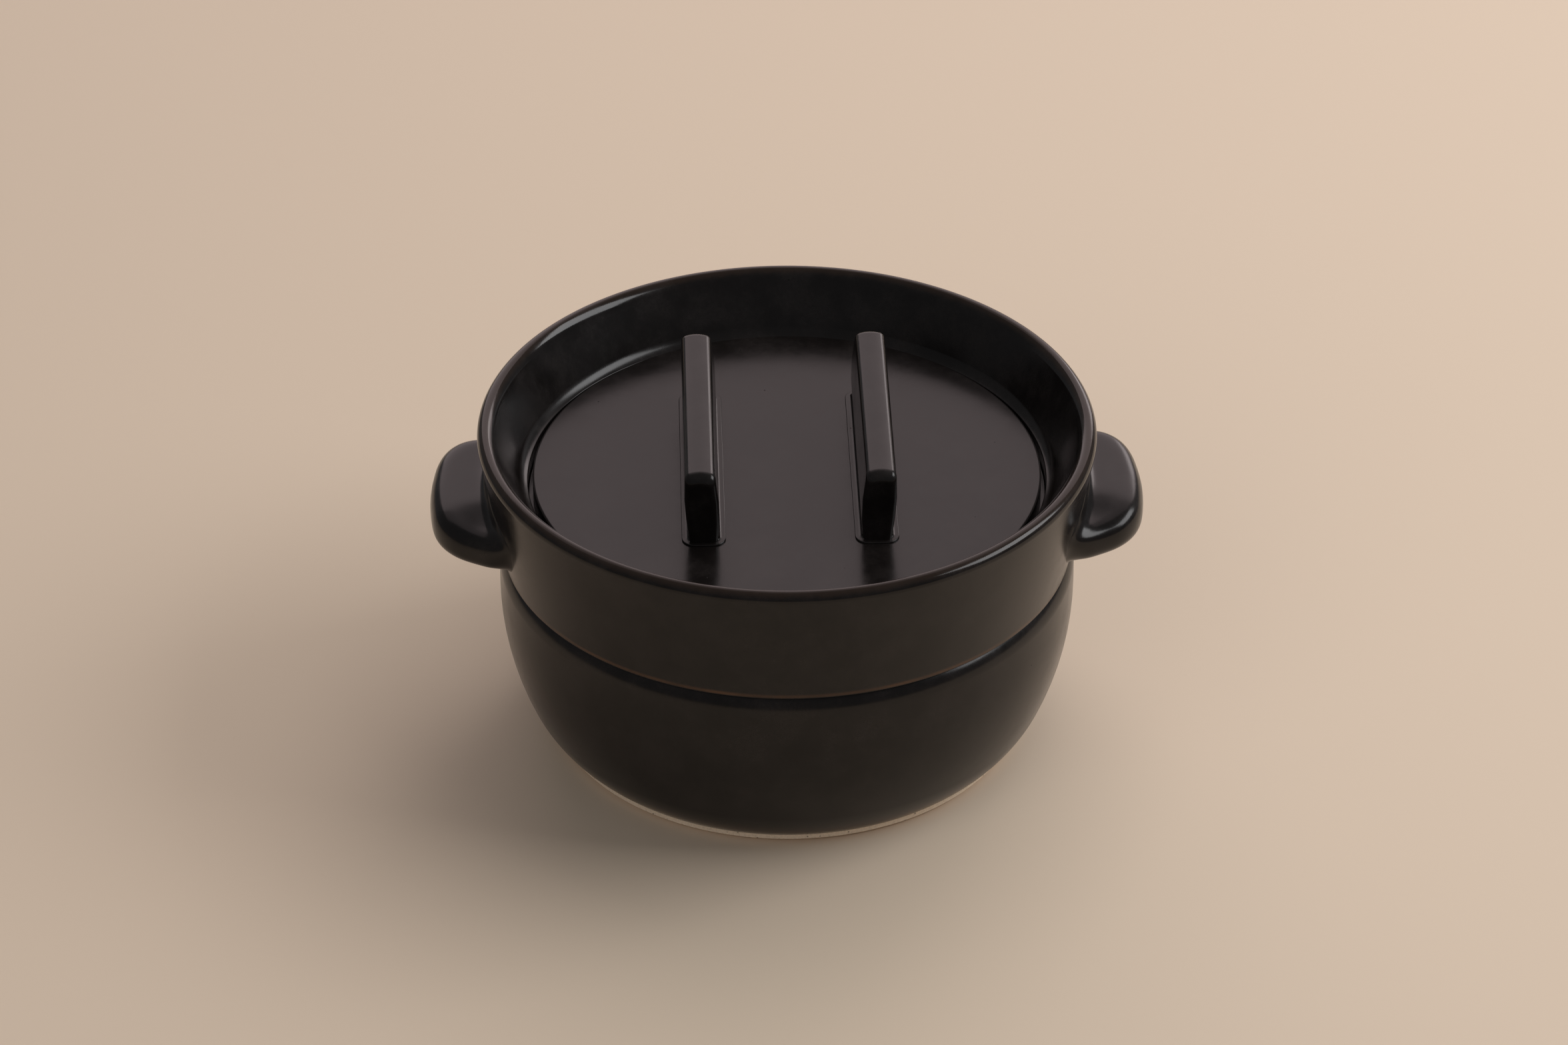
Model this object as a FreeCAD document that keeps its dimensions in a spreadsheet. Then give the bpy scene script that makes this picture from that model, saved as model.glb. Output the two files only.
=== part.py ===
"""A two-lid clay rice pot: a bowl with a flared collar, a bare foot and two ears, a disc lid with two bar
grips sunk inside the collar, and a smaller lid with a knob below it.

Millimetres, +Z up. The origin is the middle of the foot, on the surface that the pot stands on. The ears lie
along X and the bar grips run along Y.
"""

import FreeCAD, Part
import math
import os
from types import SimpleNamespace

import Sketcher

# Driving sizes, by name: the value in millimetres and what it measures. Radii are counted in and out from the
# belly, and heights up from the table through the two lids to the rim.
SIZES = {
    "belly_radius": (89.6, "widest part of the bowl, below the groove"),
    "belly_band": (5.0, "upright band of the bowl at its widest"),
    "shoulder_height": (8.0, "rounded shoulder, from that band up to the groove"),
    "groove_height": (64.0, "groove between bowl and collar, above the table"),
    "groove_depth": (1.2, "groove in from the belly"),
    "rim_flare": (5.4, "rim out from the belly"),
    "lip_round": (1.95, "round of the lip, half its thickness"),
    "wall": (7.2, "bowl wall at the belly"),
    "floor_thickness": (9.0, "floor of the bowl above the foot"),
    "floor_curve": (29.4, "curve from the flat floor to the wall, across"),
    "foot_inset": (17.3, "standing edge of the foot in from the belly"),
    "foot_flare": (2.1, "foot wider at the glaze than where it stands"),
    "foot_height": (3.0, "bare foot up to the glaze"),
    "foot_width": (10.0, "width of the ring that the pot stands on"),
    "foot_edge_round": (0.6, "worn edges of the foot"),
    "ledge_drop": (2.1, "ledge of the inner lid below the groove"),
    "ledge_reach": (12.0, "ledge of the inner lid in from the bowl wall"),
    "ledge_lip": (3.0, "upright edge below the inner ledge"),
    "ledge_edge_round": (0.8, "inner edges of both ledges"),
    "inner_lid_ledge": (4.2, "width of the ledge under the inner lid"),
    "inner_lid_thickness": (5.5, "inner lid"),
    "inner_lid_edge_round": (0.8, "upper edge of the inner lid"),
    "steam_hole_radius": (4.5, "steam holes of the inner lid"),
    "steam_hole_offset": (42.0, "steam holes from the middle of the lid"),
    "knob_radius": (12.5, "knob of the inner lid"),
    "knob_neck_radius": (8.5, "neck of the knob"),
    "knob_height": (10.6, "knob above its lid"),
    "knob_round": (2.6, "rounded rim of the knob"),
    "knob_clearance": (3.4, "knob below the outer lid"),
    "lid_ledge": (4.8, "width of the ledge under the outer lid"),
    "lid_clearance": (1.0, "room around each lid on its ledge"),
    "lid_thickness": (6.8, "outer lid at its edge"),
    "lid_edge_round": (1.6, "upper edge of the outer lid"),
    "guide_depth": (3.8, "guide ring below the outer lid"),
    "guide_width": (5.0, "thickness of the guide ring"),
    "lid_recess": (17.4, "top of the outer lid below the rim"),
    "land_drop": (0.9, "flat strip around the outer lid, below its top"),
    "land_width": (1.0, "width of that strip"),
    "cove_radius": (4.6, "hollow curve from that strip up into the collar"),
    "ear_reach": (15.0, "ear beyond the rim"),
    "ear_thickness": (13.2, "ear, top to bottom"),
    "ear_round": (5.0, "rounded edge of the ear"),
    "ear_tip_bow": (0.6, "bow of the ear's outer edge"),
    "ear_tip_width": (24.0, "outer edge of the ear, between its corners"),
    "ear_corner_inset": (10.5, "start of the ear's corners, in from its tip"),
    "ear_corner_width": (52.0, "ear across the start of its corners"),
    "ear_root_inset": (34.0, "buried root of the ear, in from its tip"),
    "ear_root_width": (77.0, "ear across its buried root"),
    "ear_root_round": (3.4, "clay smoothed into the collar around the ear"),
    "bar_spacing": (52.4, "between the feet of the two bars, middle to middle"),
    "bar_setback": (0.7, "bars behind the middle of the lid"),
    "bar_length": (84.0, "bar grip"),
    "bar_height": (24.4, "bar above the lid"),
    "bar_foot_width": (8.8, "bar at the lid"),
    "bar_swell": (0.9, "outer side of the bar, out from its foot"),
    "bar_swell_height": (8.0, "height of that swell above the lid"),
    "bar_outer_lean": (1.2, "outer side below the crown, out from its foot"),
    "bar_inner_lean": (0.65, "inner side below the crown, out from its foot"),
    "bar_crown_lean": (1.0, "middle of the crown, out from the middle of the foot"),
    "bar_crown_width": (2.3, "flat of the crown, across"),
    "bar_crown_drop": (3.8, "rounded crown of the bar, down its sides"),
    "bar_end_round": (1.9, "rounded ends of the bar"),
    "bead_width": (1.5, "clay smoothed around the foot of the bar"),
    "bead_edge": (0.35, "thickness of that clay at its edge"),
    "overrun": (20.0, "shaping cuts beyond what they shape"),
}

# Shares of the sizes that they follow. A pair is across, then up.
HEEL_SHARES = (0.546, 0.25)  # where the bowl turns under: from the glaze edge to the belly band
INNER_HEEL_SHARES = (0.782, 0.344)  # the same inside: from the floor to the foot of the ledge
LIP_OUTER_SHARES = (0.989, -0.148)  # where the lip's round meets the collar, in radii of that round
LIP_INNER_SHARES = (-0.92, 0.39)  # where it meets the inside of the collar
COVE_END_SHARES = (0.92, 0.61)  # where the cove meets the inside of the collar, in radii of the cove
EAR_HEIGHT_SHARE = 0.34  # middle of the ear, up the collar
BEAD_ROUND_SHARE = 0.8  # hollow of the bead, of its width
MOST_ROUND_SHARE = 0.45  # no edge is rounded by more than this share of its wall

NEARNESS = 1e-5  # how closely an edge has to lie to a place to be picked there


class Size:
    """A length with the spreadsheet formula that gives it, so that sums of sizes stay bound to the sheet."""

    def __init__(self, formula, value):
        self.formula = formula
        self.value = value

    def join(self, sign, other, value):
        return Size(f"({self.formula} {sign} {formula_of(other)})", value)

    def __add__(self, other):
        return self.join("+", other, self.value + value_of(other))

    def __sub__(self, other):
        return self.join("-", other, self.value - value_of(other))

    def __mul__(self, other):
        return self.join("*", other, self.value * value_of(other))

    def __truediv__(self, other):
        return self.join("/", other, self.value / value_of(other))

    def __neg__(self):
        return Size(f"(-{self.formula})", -self.value)


def formula_of(size_or_number):
    return size_or_number.formula if isinstance(size_or_number, Size) else repr(size_or_number)


def value_of(size_or_number):
    return size_or_number.value if isinstance(size_or_number, Size) else size_or_number


def round_within(radius, wall):
    """The radius of a rounded edge, held within the wall that it is on."""
    most = wall * MOST_ROUND_SHARE
    return Size(f"min({radius.formula}; {most.formula})", min(radius.value, most.value))


def make_sheet(document):
    """Writes the driving sizes into a spreadsheet and returns them by name."""
    sheet = document.addObject("Spreadsheet::Sheet", "Sizes")
    sizes = {}
    for row, (name, (value, meaning)) in enumerate(SIZES.items(), start=1):
        sheet.set(f"A{row}", meaning)
        sheet.set(f"B{row}", str(value))
        sheet.setAlias(f"B{row}", name)
        sizes[name] = Size(f"Sizes.{name}", value)
    document.recompute()
    return SimpleNamespace(**sizes)


doc = FreeCAD.newDocument("RicePot")
size = make_sheet(doc)
ZERO = Size("0", 0.0)

# Radii that several pieces share.
bowl_inside = size.belly_radius - size.wall
inner_lid_mouth = bowl_inside - size.ledge_reach
lid_mouth = inner_lid_mouth + size.inner_lid_ledge
inner_lid_radius = lid_mouth - size.lid_clearance
lid_pocket = lid_mouth + size.lid_ledge
lid_radius = lid_pocket - size.lid_clearance
foot_radius = size.belly_radius - size.foot_inset
glaze_radius = foot_radius + size.foot_flare
groove_radius = size.belly_radius - size.groove_depth
rim_radius = size.belly_radius + size.rim_flare

# Heights that several pieces share.
inner_lid_seat = size.groove_height - size.ledge_drop
inner_lid_top = inner_lid_seat + size.inner_lid_thickness
lid_seat = inner_lid_top + size.knob_height + size.knob_clearance
lid_top = lid_seat + size.lid_thickness
rim_height = lid_top + size.lid_recess

# The collar: a cone from the groove up to the round of the lip.
lip_middle = rim_radius - size.lip_round
lip_centre = rim_height - size.lip_round
collar_radius = lip_middle + size.lip_round * LIP_OUTER_SHARES[0]
collar_height = lip_centre + size.lip_round * LIP_OUTER_SHARES[1]
collar_slope = (collar_radius - groove_radius) / (collar_height - size.groove_height)
ear_middle = size.groove_height + (collar_height - size.groove_height) * EAR_HEIGHT_SHARE
ear_bottom = ear_middle - size.ear_thickness / 2


def collar_at(height):
    """Outside of the collar at a height."""
    return groove_radius + (height - size.groove_height) * collar_slope


def new_body(label, height=ZERO, aside=ZERO, behind=ZERO):
    """An empty piece whose own origin stands at a height above the pot's, to one side of it and behind it."""
    body = doc.addObject("PartDesign::Body", label)
    body.Label = label
    body.setExpression("Placement.Base.x", aside.formula)
    body.setExpression("Placement.Base.y", behind.formula)
    body.setExpression("Placement.Base.z", height.formula)
    return body


def new_sketch(body, name, plane_role):
    """An empty sketch on one of the body's own origin planes."""
    sketch = body.newObject("Sketcher::SketchObject", name)
    plane = next(feature for feature in body.Origin.OriginFeatures if feature.Role == plane_role)
    sketch.AttachmentSupport = [(plane, "")]
    sketch.MapMode = "FlatFace"
    return sketch


def tangent_arc(start, end, heading):
    """The arc that leaves start along heading and reaches end.

    Returns the arc, its heading at the end, and which of its two ends lies at start and at end.
    """
    chord = end - start
    side = FreeCAD.Vector(-heading.y, heading.x, 0)
    turns_left = chord.dot(side) > 0
    if not turns_left:
        side = -side
    radius = chord.dot(chord) / (2 * chord.dot(side))
    centre = start + side * radius
    first = math.atan2(start.y - centre.y, start.x - centre.x)
    last = math.atan2(end.y - centre.y, end.x - centre.x)
    circle = Part.Circle(centre, FreeCAD.Vector(0, 0, 1), radius)
    spoke = (end - centre) / radius
    if turns_left:
        return Part.ArcOfCircle(circle, first, last), FreeCAD.Vector(-spoke.y, spoke.x, 0), (1, 2)
    return Part.ArcOfCircle(circle, last, first), FreeCAD.Vector(spoke.y, -spoke.x, 0), (2, 1)


def draw_outline(sketch, start, steps, closing="line"):
    """Draws a closed outline and binds the place of every corner to the sheet.

    Each step is (kind, x, y). A "line" is straight, an "arc" runs on smoothly from the step before it, and an
    "arc into" runs smoothly into the straight step after it. The closing step goes back to the start.
    """
    corners = [start] + [step[1:] for step in steps]
    kinds = [step[0] for step in steps] + [closing]
    points = [FreeCAD.Vector(x.value, y.value, 0) for x, y in corners + [start]]
    heading = None
    curves = []
    for index, kind in enumerate(kinds):
        here, there = points[index], points[index + 1]
        tips = (1, 2)
        if kind == "line":
            curve = Part.LineSegment(here, there)
            heading = (there - here).normalize()
        elif kind == "arc":
            curve, heading, tips = tangent_arc(here, there, heading)
        else:
            heading = (points[index + 2] - there).normalize()
            curve, _, (finish, begin) = tangent_arc(there, here, -heading)
            tips = (begin, finish)
        curves.append((sketch.addGeometry(curve), *tips))

    rules = []
    formulas = {}
    for index, corner in enumerate(corners):
        before, _, finish = curves[index - 1]
        curve, begin, _ = curves[index]
        smooth = kinds[index] == "arc" or kinds[index - 1] == "arc into"
        rules.append(Sketcher.Constraint("Tangent" if smooth else "Coincident", before, finish, curve, begin))
        for axis, name, place in ((-2, "DistanceX", corner[0]), (-1, "DistanceY", corner[1])):
            if place is ZERO:
                rules.append(Sketcher.Constraint("PointOnObject", curve, begin, axis))
            else:
                formulas[len(rules)] = place.formula
                rules.append(Sketcher.Constraint(name, -1, 1, curve, begin, place.value))
    sketch.addConstraint(rules)
    for index, formula in formulas.items():
        sketch.setExpression(f"Constraints[{index}]", formula)


def revolve(body, sketch, name, kind="PartDesign::Revolution"):
    """Turns a sketch once round the body's upright axis, as a solid or as a cut."""
    feature = body.newObject(kind, name)
    feature.Profile = sketch
    feature.ReferenceAxis = (sketch, ["V_Axis"])
    feature.Angle = 360.0
    doc.recompute()
    return feature


def pad(body, sketch, name, length, side="One side"):
    feature = body.newObject("PartDesign::Pad", name)
    feature.Profile = sketch
    feature.SideType = side
    feature.setExpression("Length", length.formula)
    doc.recompute()
    return feature


def round_edges(body, base, name, radius, wanted):
    """Rounds the edges of a feature whose points between their ends all pass the wanted test."""
    names = []
    for index, edge in enumerate(base.Shape.Edges, start=1):
        if all(wanted(point) for point in edge.discretize(5)[1:-1]):
            names.append(f"Edge{index}")
    feature = body.newObject("PartDesign::Fillet", name)
    feature.Base = (base, names)
    feature.setExpression("Radius", radius.formula)
    doc.recompute()
    return feature


def near(value, wanted):
    return abs(value - wanted.value) < NEARNESS


def make_pot_body():
    """Bowl and collar in one wall, with the ledge of each lid inside."""
    body = new_body("pot_body")
    sketch = new_sketch(body, "pot_wall", "XZ_Plane")
    floor_top = size.foot_height + size.floor_thickness
    floor_radius = bowl_inside - size.floor_curve
    edge = size.ledge_edge_round
    lip_foot = inner_lid_seat - size.ledge_lip
    corbel_foot = lip_foot - size.ledge_reach
    land = lid_top - size.land_drop
    land_edge = lid_pocket + size.land_width
    belly_top = size.groove_height - size.shoulder_height
    belly_foot = belly_top - size.belly_band
    draw_outline(sketch, (ZERO, floor_top), [
        ("line", floor_radius, floor_top),
        ("arc", floor_radius + size.floor_curve * INNER_HEEL_SHARES[0],
         floor_top + (corbel_foot - floor_top) * INNER_HEEL_SHARES[1]),
        ("arc", bowl_inside, corbel_foot),
        ("line", inner_lid_mouth, lip_foot),
        ("line", inner_lid_mouth, inner_lid_seat - edge),
        ("arc", inner_lid_mouth + edge, inner_lid_seat),
        ("line", lid_mouth, inner_lid_seat),
        ("line", lid_mouth, lid_seat - edge),
        ("arc", lid_mouth + edge, lid_seat),
        ("line", lid_pocket, lid_seat),
        ("line", lid_pocket, land),
        ("line", land_edge, land),
        ("arc", land_edge + size.cove_radius * COVE_END_SHARES[0],
         land + size.cove_radius * COVE_END_SHARES[1]),
        ("line", lip_middle + size.lip_round * LIP_INNER_SHARES[0],
         lip_centre + size.lip_round * LIP_INNER_SHARES[1]),
        ("arc", lip_middle, rim_height),
        ("arc", collar_radius, collar_height),
        ("line", groove_radius, size.groove_height),
        ("arc into", size.belly_radius, belly_top),
        ("line", size.belly_radius, belly_foot),
        ("arc", glaze_radius + (size.belly_radius - glaze_radius) * HEEL_SHARES[0],
         size.foot_height + (belly_foot - size.foot_height) * HEEL_SHARES[1]),
        ("arc", glaze_radius, size.foot_height),
        ("line", ZERO, size.foot_height),
    ])
    revolve(body, sketch, "pot_turned")
    return body


def make_foot_ring():
    """Bare ring that the pot stands on."""
    body = new_body("foot_ring")
    sketch = new_sketch(body, "foot_section", "XZ_Plane")
    inside = foot_radius - size.foot_width
    edge = round_within(size.foot_edge_round, size.foot_height)
    draw_outline(sketch, (inside + edge, ZERO), [
        ("line", foot_radius - edge, ZERO),
        ("arc", foot_radius, edge),
        ("line", glaze_radius, size.foot_height),
        ("line", inside, size.foot_height),
        ("line", inside, edge),
    ], closing="arc")
    revolve(body, sketch, "foot_turned")
    return body


def make_ear(label, turn):
    """Flat lug with rounded edges, its root shaped to the collar and smoothed into it."""
    body = new_body(label, height=ear_bottom)
    body.Placement.Rotation = FreeCAD.Rotation(FreeCAD.Vector(0, 0, 1), turn)
    tip = rim_radius + size.ear_reach
    edge = tip - size.ear_tip_bow
    corner = tip - size.ear_corner_inset
    root = tip - size.ear_root_inset
    half_edge = size.ear_tip_width / 2
    half_corner = size.ear_corner_width / 2
    half_root = size.ear_root_width / 2
    plan = new_sketch(body, label + "_plan", "XY_Plane")
    draw_outline(plan, (root, -half_root), [
        ("line", corner, -half_corner),
        ("arc", edge, -half_edge),
        ("arc", edge, half_edge),
        ("arc", corner, half_corner),
        ("line", root, half_root),
    ])
    slab = pad(body, plan, label + "_slab", size.ear_thickness)

    def on_outer_edge(point):
        return (near(point.z, ZERO) or near(point.z, size.ear_thickness)) and not near(point.x, root)

    edge_round = round_within(size.ear_round, size.ear_thickness)
    round_edges(body, slab, label + "_rounded", edge_round, on_outer_edge)

    # The ear is joined to a solid stub of the collar, smoothed into it, and the stub is cut away again.
    low = -size.overrun
    high = size.ear_thickness + size.overrun
    stub = new_sketch(body, label + "_collar", "YZ_Plane")
    draw_outline(stub, (ZERO, low), [
        ("line", collar_at(ear_bottom + low), low),
        ("line", collar_at(ear_bottom + high), high),
        ("line", ZERO, high),
    ])
    joined = revolve(body, stub, label + "_on_collar")

    def on_root(point):
        within = -NEARNESS < point.z < size.ear_thickness.value + NEARNESS
        return within and near(math.hypot(point.x, point.y), collar_at(ear_bottom + point.z))

    round_edges(body, joined, label + "_smoothed", size.ear_root_round, on_root)
    revolve(body, stub, label + "_off_collar", kind="PartDesign::Groove")
    return body


def make_outer_lid():
    """Flat disc with a guide ring below it."""
    body = new_body("outer_lid", height=lid_seat - size.guide_depth)
    sketch = new_sketch(body, "lid_section", "XZ_Plane")
    underside = size.guide_depth
    top = underside + size.lid_thickness
    edge = round_within(size.lid_edge_round, size.lid_thickness)
    guide_outside = lid_mouth - size.lid_clearance
    guide_inside = guide_outside - size.guide_width
    draw_outline(sketch, (ZERO, underside), [
        ("line", guide_inside, underside),
        ("line", guide_inside, ZERO),
        ("line", guide_outside, ZERO),
        ("line", guide_outside, underside),
        ("line", lid_radius, underside),
        ("line", lid_radius, top - edge),
        ("arc", lid_radius - edge, top),
        ("line", ZERO, top),
    ])
    revolve(body, sketch, "lid_turned")
    return body


def make_lid_bar(label, outward):
    """Bar grip that leans out a little, with a rounded crown and the clay smoothed around its foot.

    Outward is 1 for the bar on the +X side and -1 for the other, which is its mirror image.
    """
    body = new_body(label, height=lid_top, aside=size.bar_spacing / 2 * outward, behind=size.bar_setback)
    half_foot = size.bar_foot_width / 2
    half_crown = size.bar_crown_width / 2
    half_length = size.bar_length / 2
    crown_foot = size.bar_height - size.bar_crown_drop
    section = new_sketch(body, label + "_section", "XZ_Plane")
    draw_outline(section, (-half_foot * outward, ZERO), [
        ("line", half_foot * outward, ZERO),
        ("line", (half_foot + size.bar_swell) * outward, size.bar_swell_height),
        ("arc", (half_foot + size.bar_outer_lean) * outward, crown_foot),
        ("arc", (size.bar_crown_lean + half_crown) * outward, size.bar_height),
        ("arc", (size.bar_crown_lean - half_crown) * outward, size.bar_height),
        ("arc", (size.bar_inner_lean - half_foot) * outward, crown_foot),
    ], closing="arc")
    bar = pad(body, section, label + "_length", size.bar_length, side="Symmetric")

    def on_end(point):
        return near(abs(point.y), half_length) and not near(point.z, ZERO)

    end_round = round_within(size.bar_end_round, size.bar_foot_width)
    round_edges(body, bar, label + "_ends", end_round, on_end)

    corner = end_round + size.bead_width
    half_wide = half_foot + size.bead_width
    half_long = half_length + size.bead_width
    plan = new_sketch(body, label + "_bead_plan", "XY_Plane")
    draw_outline(plan, (half_wide, corner - half_long), [
        ("line", half_wide, half_long - corner),
        ("arc", half_wide - corner, half_long),
        ("line", corner - half_wide, half_long),
        ("arc", -half_wide, half_long - corner),
        ("line", -half_wide, corner - half_long),
        ("arc", corner - half_wide, -half_long),
        ("line", half_wide - corner, -half_long),
    ], closing="arc")
    bead = pad(body, plan, label + "_bead", size.bead_edge)

    def at_foot(point):
        beside = abs(point.x) < half_wide.value - NEARNESS and abs(point.y) < half_length.value + NEARNESS
        return beside and near(point.z, size.bead_edge)

    round_edges(body, bead, label + "_smoothed", size.bead_width * BEAD_ROUND_SHARE, at_foot)
    return body


def make_inner_lid():
    """Small disc lid with two steam holes."""
    body = new_body("inner_lid", height=inner_lid_seat)
    sketch = new_sketch(body, "inner_lid_section", "XZ_Plane")
    top = size.inner_lid_thickness
    edge = round_within(size.inner_lid_edge_round, top)
    draw_outline(sketch, (ZERO, ZERO), [
        ("line", inner_lid_radius, ZERO),
        ("line", inner_lid_radius, top - edge),
        ("arc", inner_lid_radius - edge, top),
        ("line", ZERO, top),
    ])
    revolve(body, sketch, "inner_lid_turned")

    plan = new_sketch(body, "steam_hole_plan", "XY_Plane")
    place = FreeCAD.Vector(size.steam_hole_offset.value, 0, 0)
    upright = FreeCAD.Vector(0, 0, 1)
    circle = plan.addGeometry(Part.Circle(place, upright, size.steam_hole_radius.value))
    across, _, wide = plan.addConstraint([
        Sketcher.Constraint("DistanceX", -1, 1, circle, 3, size.steam_hole_offset.value),
        Sketcher.Constraint("PointOnObject", circle, 3, -1),
        Sketcher.Constraint("Radius", circle, size.steam_hole_radius.value),
    ])
    plan.setExpression(f"Constraints[{across}]", size.steam_hole_offset.formula)
    plan.setExpression(f"Constraints[{wide}]", size.steam_hole_radius.formula)
    hole = body.newObject("PartDesign::Pocket", "steam_hole")
    hole.Profile = plan
    hole.Type = "ThroughAll"
    hole.Reversed = True
    doc.recompute()
    holes = body.newObject("PartDesign::PolarPattern", "steam_holes")
    holes.Originals = [hole]
    holes.Axis = (plan, ["N_Axis"])
    holes.Angle = 360.0
    holes.Occurrences = 2
    body.Tip = holes
    doc.recompute()
    return body


def make_inner_lid_knob():
    """Low knob with a full round rim."""
    body = new_body("inner_lid_knob", height=inner_lid_top)
    sketch = new_sketch(body, "knob_section", "XZ_Plane")
    top = size.knob_height
    edge = round_within(size.knob_round, size.knob_height)
    draw_outline(sketch, (ZERO, ZERO), [
        ("line", size.knob_neck_radius, ZERO),
        ("line", size.knob_neck_radius, top - edge * 2),
        ("line", size.knob_radius - edge, top - edge * 2),
        ("arc", size.knob_radius, top - edge),
        ("arc", size.knob_radius - edge, top),
        ("line", ZERO, top),
    ])
    revolve(body, sketch, "knob_turned")
    return body


def check_model(pieces):
    """Stops before anything is written if a step failed or a piece is not one sound solid."""
    for thing in doc.Objects:
        if "Invalid" in thing.State or "Error" in thing.State:
            raise RuntimeError(f"{thing.Label} could not be made: {thing.State}")
    for piece in pieces:
        shape = piece.Shape
        if shape.isNull() or not shape.isValid() or len(shape.Solids) != 1:
            raise RuntimeError(f"{piece.Label} is not one sound solid")


pieces = [
    make_pot_body(),
    make_foot_ring(),
    make_ear("right_ear", 0),
    make_ear("left_ear", 180),
    make_outer_lid(),
    make_lid_bar("right_lid_bar", 1),
    make_lid_bar("left_lid_bar", -1),
    make_inner_lid(),
    make_inner_lid_knob(),
]
doc.recompute()
check_model(pieces)

os.makedirs("parts", exist_ok=True)
for piece in pieces:
    piece.Shape.exportStep(f"parts/{piece.Label}.step")
    print(f"{piece.Label}: {piece.Shape.Volume / 1000:.1f} cubic centimetres")
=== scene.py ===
"""Dresses the packed clay rice pot: glazed bowl, ears, lids and bars, a bare foot and a plain stage."""

from math import atan2, ceil, copysign, cos, pi, radians, sin, sqrt, tan

import bpy
from bpy.props import FloatProperty, FloatVectorProperty, IntProperty, PointerProperty
from mathutils import Matrix, Vector


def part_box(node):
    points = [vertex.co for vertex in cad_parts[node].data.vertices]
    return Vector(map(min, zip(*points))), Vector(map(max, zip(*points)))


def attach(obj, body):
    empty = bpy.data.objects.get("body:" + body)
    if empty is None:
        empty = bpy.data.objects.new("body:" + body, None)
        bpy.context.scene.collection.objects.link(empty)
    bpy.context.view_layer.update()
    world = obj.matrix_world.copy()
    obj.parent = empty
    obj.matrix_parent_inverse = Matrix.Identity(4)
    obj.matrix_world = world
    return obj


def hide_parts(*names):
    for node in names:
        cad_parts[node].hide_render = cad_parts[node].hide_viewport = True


bl_info = {
    "name": "Clay Rice Pot",
    "version": (1, 0, 0),
    "blender": (4, 5, 0),
    "location": "3D View > Sidebar > Rice Pot",
    "description": "Models the glazed skin, the lids and the stage of a clay rice pot over its packed model",
    "category": "Object",
}

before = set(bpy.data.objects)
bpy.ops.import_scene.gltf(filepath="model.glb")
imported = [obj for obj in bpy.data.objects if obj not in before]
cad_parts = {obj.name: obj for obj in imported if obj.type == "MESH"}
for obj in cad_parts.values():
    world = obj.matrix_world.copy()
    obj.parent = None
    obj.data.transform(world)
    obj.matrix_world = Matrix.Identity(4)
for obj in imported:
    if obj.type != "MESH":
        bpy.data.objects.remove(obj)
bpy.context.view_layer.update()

BOWL_LOW, BOWL_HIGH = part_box("pot_body")
FOOT_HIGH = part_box("foot_ring")[1]
LID_LOW, LID_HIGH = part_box("outer_lid")
INNER_LOW, INNER_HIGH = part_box("inner_lid")
KNOB_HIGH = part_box("inner_lid_knob")[1]

MILLIMETRE = 0.001
AXIS = (0, 0, 0)
UP = (0, 0, 1)

# How finely the pieces are made, and how they are pressed and shaded.
WELD = 1e-6  # vertices that lie closer than this become one
FINE_STEP = radians(3)
ARC_STEP = radians(6)
CORNER_STEP = radians(12)
ROUNDS = 256
KNOB_ROUNDS = 128
HOLE_ROUNDS = 64
BAR_END_RINGS = 8
BEAD_CORNER_STEPS = 10
GRIP = MILLIMETRE  # how much skin, past its nearest place, a press on an ear takes along
SHARP = radians(40)  # edges over this angle stay sharp in the shading

# Heights of the fine relief in the finishes, in millimetres.
GLAZE_WAVE = 0.035
GLAZE_PEEL = 0.009
GLAZE_GRAIN = 0.0026
PINHOLE_DEPTH = 0.03
CLAY_GRAIN = 0.09
CLAY_CLOUD = 0.10
CLAY_SPECK = 0.10
FLOOR_GRAIN = 0.02

SPECK_CORE = 0.55  # part of a speck's radius within which it is full

FLOOR_SIZE = 16
SENSOR_WIDTH = 36  # in millimetres
LAMP_AIM = Vector((0, 0, 0.06))
WALL_TINT = (1.0, 0.81, 0.81)
ROSE_TINT = (1.0, 0.92, 0.90)
DAY_TINT = (0.99, 0.99, 1.0)
CREAM_TINT = (1.0, 0.985, 0.96)

# Name, place, width and height, power, tint, and whether the glaze mirrors the lamp.
LAMPS = (
    ("back_wall", (0.16, 1.99, 0.99), (2.59, 1.69), 13.4, WALL_TINT, True),
    ("high_wall", (0.00, 1.23, 1.88), (2.20, 0.75), 2.1, WALL_TINT, True),
    ("low_window", (0.95, 1.87, 0.72), (0.55, 0.50), 1.6, ROSE_TINT, True),
    ("side_window", (1.43, 0.02, 1.18), (1.25, 0.80), 16.0, DAY_TINT, True),
    ("soft_key", (0.70, 0.90, 2.00), (2.0, 2.0), 18.0, CREAM_TINT, False),
    ("front_fill", (-0.90, -1.50, 1.40), (1.6, 1.6), 8.0, CREAM_TINT, False),
)


def length(name, default, description):
    """A size in metres that a user can change."""
    return FloatProperty(name=name, description=description, default=default, min=0, precision=4,
                         subtype="DISTANCE", unit="LENGTH")


def share(name, default, description):
    """A part of one that a user can change."""
    return FloatProperty(name=name, description=description, default=default, min=0, max=1, subtype="FACTOR")


def angle(name, default, description):
    """An angle that a user can change."""
    return FloatProperty(name=name, description=description, default=default,
                         subtype="ANGLE", unit="ROTATION")


def colour(name, default, description):
    """A colour that a user can change."""
    return FloatVectorProperty(name=name, description=description, default=default, min=0, max=1, size=3,
                               subtype="COLOR")


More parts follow.
